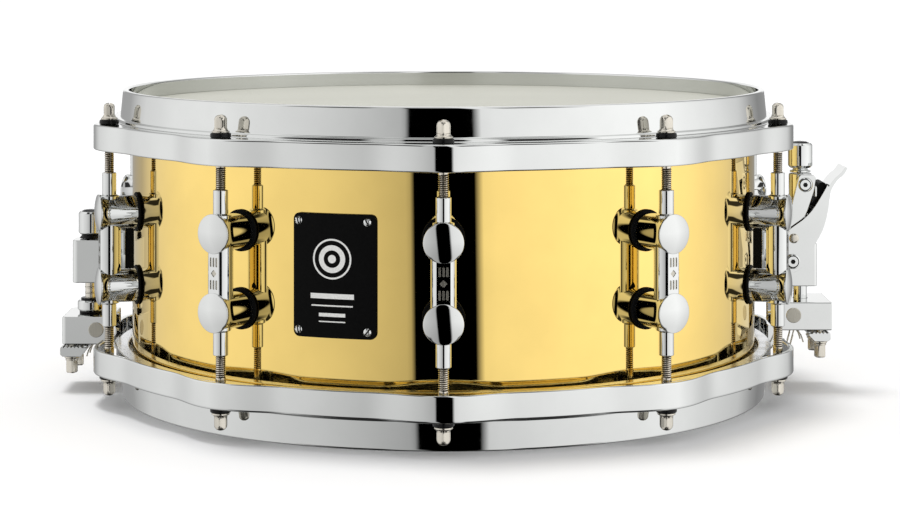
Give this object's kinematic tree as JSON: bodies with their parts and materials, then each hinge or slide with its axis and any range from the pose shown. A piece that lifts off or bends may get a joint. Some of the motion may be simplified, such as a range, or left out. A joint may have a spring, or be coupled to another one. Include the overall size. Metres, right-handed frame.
{
  "type": "snare drum",
  "caption": "Brass-shelled snare drum with tube lugs, die-cast hoops, coated head, lever throw-off, butt plate and snare wires.",
  "frame": {"origin": "on the drum's axis, half way between the two bearing edges", "axes": "+Z along the drum's axis towards the batter head; +X towards the strainer, so -X is the butt plate; -Y through lug_01"},
  "size_m": [0.4461, 0.401, 0.1714],
  "materials": {
    "chrome": "polished chrome plate",
    "brass": "polished and lacquered",
    "nickel": "polished steel",
    "coated_film": "white sprayed coating on polyester film",
    "clear_film": "thin translucent polyester film",
    "aluminium": "satin",
    "badge": "black enamel, satin",
    "rubber": "black, matt",
    "cord": "twisted off-white cord"
  },
  "bodies": {
    "drum_shell": {"shell": "brass", "vent_grommet": "chrome", "lug_01": "chrome", "lug_02": "chrome", "lug_03": "chrome", "lug_04": "chrome", "lug_05": "chrome", "lug_06": "chrome", "lug_07": "chrome", "lug_08": "chrome", "lug_09": "chrome", "lug_10": "chrome", "badge_plate": "badge", "strainer_housing": "chrome", "strainer_gasket": "rubber", "strainer_pivot_pin": "nickel", "butt_housing": "chrome", "butt_gasket": "rubber"},
    "batter_hoop_assembly": {"batter_hoop": "chrome", "batter_flesh_hoop": "aluminium", "batter_head": "coated_film"},
    "snare_hoop_assembly": {"snare_hoop": "chrome", "snare_flesh_hoop": "aluminium", "snare_head": "clear_film"},
    "throwoff_lever": {"strainer_lever": "chrome"},
    "strainer_carriage": {"strainer_carriage": "chrome"},
    "strainer_link": {"strainer_link": "chrome"},
    "strainer_knob": {"strainer_knob": "chrome"},
    "strainer_clamp": {"strainer_clamp_block": "chrome", "strainer_clamp_jaw": "chrome", "strainer_clamp_screw_front": "nickel", "strainer_clamp_screw_back": "nickel", "strainer_cord": "cord"},
    "butt_knob": {"butt_knob": "chrome"},
    "butt_clamp": {"butt_clamp_block": "chrome", "butt_clamp_jaw": "chrome", "butt_clamp_screw_front": "nickel", "butt_clamp_screw_back": "nickel", "butt_cord": "cord"},
    "snare_wires": {"snare_wires": "nickel"},
    "batter_rod_01": {"batter_rod_01": "nickel"},
    "batter_rod_02": {"batter_rod_02": "nickel"},
    "batter_rod_03": {"batter_rod_03": "nickel"},
    "batter_rod_04": {"batter_rod_04": "nickel"},
    "batter_rod_05": {"batter_rod_05": "nickel"},
    "batter_rod_06": {"batter_rod_06": "nickel"},
    "batter_rod_07": {"batter_rod_07": "nickel"},
    "batter_rod_08": {"batter_rod_08": "nickel"},
    "batter_rod_09": {"batter_rod_09": "nickel"},
    "batter_rod_10": {"batter_rod_10": "nickel"},
    "snare_rod_01": {"snare_rod_01": "nickel"},
    "snare_rod_02": {"snare_rod_02": "nickel"},
    "snare_rod_03": {"snare_rod_03": "nickel"},
    "snare_rod_04": {"snare_rod_04": "nickel"},
    "snare_rod_05": {"snare_rod_05": "nickel"},
    "snare_rod_06": {"snare_rod_06": "nickel"},
    "snare_rod_07": {"snare_rod_07": "nickel"},
    "snare_rod_08": {"snare_rod_08": "nickel"},
    "snare_rod_09": {"snare_rod_09": "nickel"},
    "snare_rod_10": {"snare_rod_10": "nickel"}
  },
  "joints": [
    {"name": "batter_hoop_tension", "type": "slide", "parent": "drum_shell", "child": "batter_hoop_assembly", "axis": [0, 0, 1], "range_m": [0, 0.004]},
    {"name": "snare_hoop_tension", "type": "slide", "parent": "drum_shell", "child": "snare_hoop_assembly", "axis": [0, 0, -1], "range_m": [0, 0.004]},
    {"name": "batter_rod_01_turn", "type": "hinge", "parent": "batter_hoop_assembly", "child": "batter_rod_01", "pos_m": [0, -0.1924, 0.0684], "axis": [0, 0, 1], "range_deg": [0, 1361.1]},
    {"name": "batter_rod_02_turn", "type": "hinge", "parent": "batter_hoop_assembly", "child": "batter_rod_02", "pos_m": [0.11309, -0.15565, 0.0684], "axis": [0, 0, 1], "range_deg": [0, 1361.1]},
    {"name": "batter_rod_03_turn", "type": "hinge", "parent": "batter_hoop_assembly", "child": "batter_rod_03", "pos_m": [0.18298, -0.05945, 0.0684], "axis": [0, 0, 1], "range_deg": [0, 1361.1]},
    {"name": "batter_rod_04_turn", "type": "hinge", "parent": "batter_hoop_assembly", "child": "batter_rod_04", "pos_m": [0.18298, 0.05945, 0.0684], "axis": [0, 0, 1], "range_deg": [0, 1361.1]},
    {"name": "batter_rod_05_turn", "type": "hinge", "parent": "batter_hoop_assembly", "child": "batter_rod_05", "pos_m": [0.11309, 0.15565, 0.0684], "axis": [0, 0, 1], "range_deg": [0, 1361.1]},
    {"name": "batter_rod_06_turn", "type": "hinge", "parent": "batter_hoop_assembly", "child": "batter_rod_06", "pos_m": [0, 0.1924, 0.0684], "axis": [0, 0, 1], "range_deg": [0, 1361.1]},
    {"name": "batter_rod_07_turn", "type": "hinge", "parent": "batter_hoop_assembly", "child": "batter_rod_07", "pos_m": [-0.11309, 0.15565, 0.0684], "axis": [0, 0, 1], "range_deg": [0, 1361.1]},
    {"name": "batter_rod_08_turn", "type": "hinge", "parent": "batter_hoop_assembly", "child": "batter_rod_08", "pos_m": [-0.18298, 0.05945, 0.0684], "axis": [0, 0, 1], "range_deg": [0, 1361.1]},
    {"name": "batter_rod_09_turn", "type": "hinge", "parent": "batter_hoop_assembly", "child": "batter_rod_09", "pos_m": [-0.18298, -0.05945, 0.0684], "axis": [0, 0, 1], "range_deg": [0, 1361.1]},
    {"name": "batter_rod_10_turn", "type": "hinge", "parent": "batter_hoop_assembly", "child": "batter_rod_10", "pos_m": [-0.11309, -0.15565, 0.0684], "axis": [0, 0, 1], "range_deg": [0, 1361.1]},
    {"name": "snare_rod_01_turn", "type": "hinge", "parent": "snare_hoop_assembly", "child": "snare_rod_01", "pos_m": [0, -0.1924, -0.0684], "axis": [0, 0, -1], "range_deg": [0, 1361.1]},
    {"name": "snare_rod_02_turn", "type": "hinge", "parent": "snare_hoop_assembly", "child": "snare_rod_02", "pos_m": [0.11309, -0.15565, -0.0684], "axis": [0, 0, -1], "range_deg": [0, 1361.1]},
    {"name": "snare_rod_03_turn", "type": "hinge", "parent": "snare_hoop_assembly", "child": "snare_rod_03", "pos_m": [0.18298, -0.05945, -0.0684], "axis": [0, 0, -1], "range_deg": [0, 1361.1]},
    {"name": "snare_rod_04_turn", "type": "hinge", "parent": "snare_hoop_assembly", "child": "snare_rod_04", "pos_m": [0.18298, 0.05945, -0.0684], "axis": [0, 0, -1], "range_deg": [0, 1361.1]},
    {"name": "snare_rod_05_turn", "type": "hinge", "parent": "snare_hoop_assembly", "child": "snare_rod_05", "pos_m": [0.11309, 0.15565, -0.0684], "axis": [0, 0, -1], "range_deg": [0, 1361.1]},
    {"name": "snare_rod_06_turn", "type": "hinge", "parent": "snare_hoop_assembly", "child": "snare_rod_06", "pos_m": [0, 0.1924, -0.0684], "axis": [0, 0, -1], "range_deg": [0, 1361.1]},
    {"name": "snare_rod_07_turn", "type": "hinge", "parent": "snare_hoop_assembly", "child": "snare_rod_07", "pos_m": [-0.11309, 0.15565, -0.0684], "axis": [0, 0, -1], "range_deg": [0, 1361.1]},
    {"name": "snare_rod_08_turn", "type": "hinge", "parent": "snare_hoop_assembly", "child": "snare_rod_08", "pos_m": [-0.18298, 0.05945, -0.0684], "axis": [0, 0, -1], "range_deg": [0, 1361.1]},
    {"name": "snare_rod_09_turn", "type": "hinge", "parent": "snare_hoop_assembly", "child": "snare_rod_09", "pos_m": [-0.18298, -0.05945, -0.0684], "axis": [0, 0, -1], "range_deg": [0, 1361.1]},
    {"name": "snare_rod_10_turn", "type": "hinge", "parent": "snare_hoop_assembly", "child": "snare_rod_10", "pos_m": [-0.11309, -0.15565, -0.0684], "axis": [0, 0, -1], "range_deg": [0, 1361.1]},
    {"name": "throwoff", "type": "hinge", "parent": "drum_shell", "child": "throwoff_lever", "pos_m": [0.198, 0, -0.0128], "axis": [0, 1, 0], "range_deg": [0, 95]},
    {"name": "carriage_drop", "type": "slide", "parent": "drum_shell", "child": "strainer_carriage", "axis": [0, 0, -1], "range_m": [0, 0.01453]},
    {"name": "link_swing", "type": "hinge", "parent": "strainer_carriage", "child": "strainer_link", "pos_m": [0.2056, 0, 0.0303], "axis": [0, -1, 0], "range_deg": [0, 22.82]},
    {"name": "strainer_knob_turn", "type": "hinge", "parent": "strainer_carriage", "child": "strainer_knob", "pos_m": [0.204, 0, 0.0475], "axis": [0, 0, 1], "range_deg": [-1081, 1081]},
    {"name": "strainer_clamp_travel", "type": "slide", "parent": "strainer_carriage", "child": "strainer_clamp", "axis": [0, 0, 1], "range_m": [-0.003, 0.003]},
    {"name": "butt_knob_turn", "type": "hinge", "parent": "drum_shell", "child": "butt_knob", "pos_m": [-0.2017, 0, 0.0085], "axis": [0, 0, 1], "range_deg": [-1081, 1081]},
    {"name": "butt_clamp_travel", "type": "slide", "parent": "drum_shell", "child": "butt_clamp", "axis": [0, 0, 1], "range_m": [-0.003, 0.003]},
    {"name": "snare_wire_drop", "type": "hinge", "parent": "snare_hoop_assembly", "child": "snare_wires", "pos_m": [-0.168, 0, -0.078], "axis": [0, 1, 0], "range_deg": [0, 0.33]}
  ],
  "couplings": [
    {"joint": "batter_rod_01_turn", "follows": "batter_hoop_tension", "rad_per_m": 5936.9},
    {"joint": "batter_rod_02_turn", "follows": "batter_hoop_tension", "rad_per_m": 5936.9},
    {"joint": "batter_rod_03_turn", "follows": "batter_hoop_tension", "rad_per_m": 5936.9},
    {"joint": "batter_rod_04_turn", "follows": "batter_hoop_tension", "rad_per_m": 5936.9},
    {"joint": "batter_rod_05_turn", "follows": "batter_hoop_tension", "rad_per_m": 5936.9},
    {"joint": "batter_rod_06_turn", "follows": "batter_hoop_tension", "rad_per_m": 5936.9},
    {"joint": "batter_rod_07_turn", "follows": "batter_hoop_tension", "rad_per_m": 5936.9},
    {"joint": "batter_rod_08_turn", "follows": "batter_hoop_tension", "rad_per_m": 5936.9},
    {"joint": "batter_rod_09_turn", "follows": "batter_hoop_tension", "rad_per_m": 5936.9},
    {"joint": "batter_rod_10_turn", "follows": "batter_hoop_tension", "rad_per_m": 5936.9},
    {"joint": "snare_rod_01_turn", "follows": "snare_hoop_tension", "rad_per_m": 5936.9},
    {"joint": "snare_rod_02_turn", "follows": "snare_hoop_tension", "rad_per_m": 5936.9},
    {"joint": "snare_rod_03_turn", "follows": "snare_hoop_tension", "rad_per_m": 5936.9},
    {"joint": "snare_rod_04_turn", "follows": "snare_hoop_tension", "rad_per_m": 5936.9},
    {"joint": "snare_rod_05_turn", "follows": "snare_hoop_tension", "rad_per_m": 5936.9},
    {"joint": "snare_rod_06_turn", "follows": "snare_hoop_tension", "rad_per_m": 5936.9},
    {"joint": "snare_rod_07_turn", "follows": "snare_hoop_tension", "rad_per_m": 5936.9},
    {"joint": "snare_rod_08_turn", "follows": "snare_hoop_tension", "rad_per_m": 5936.9},
    {"joint": "snare_rod_09_turn", "follows": "snare_hoop_tension", "rad_per_m": 5936.9},
    {"joint": "snare_rod_10_turn", "follows": "snare_hoop_tension", "rad_per_m": 5936.9},
    {"joint": "carriage_drop", "follows": "throwoff", "m_per_rad": 0.0087488},
    {"joint": "link_swing", "follows": "throwoff", "ratio": 0.23973},
    {"joint": "snare_wire_drop", "follows": "throwoff", "ratio": 0.0034219},
    {"joint": "strainer_knob_turn", "follows": "strainer_clamp_travel", "rad_per_m": -6283.2},
    {"joint": "butt_knob_turn", "follows": "butt_clamp_travel", "rad_per_m": -6283.2}
  ]
}
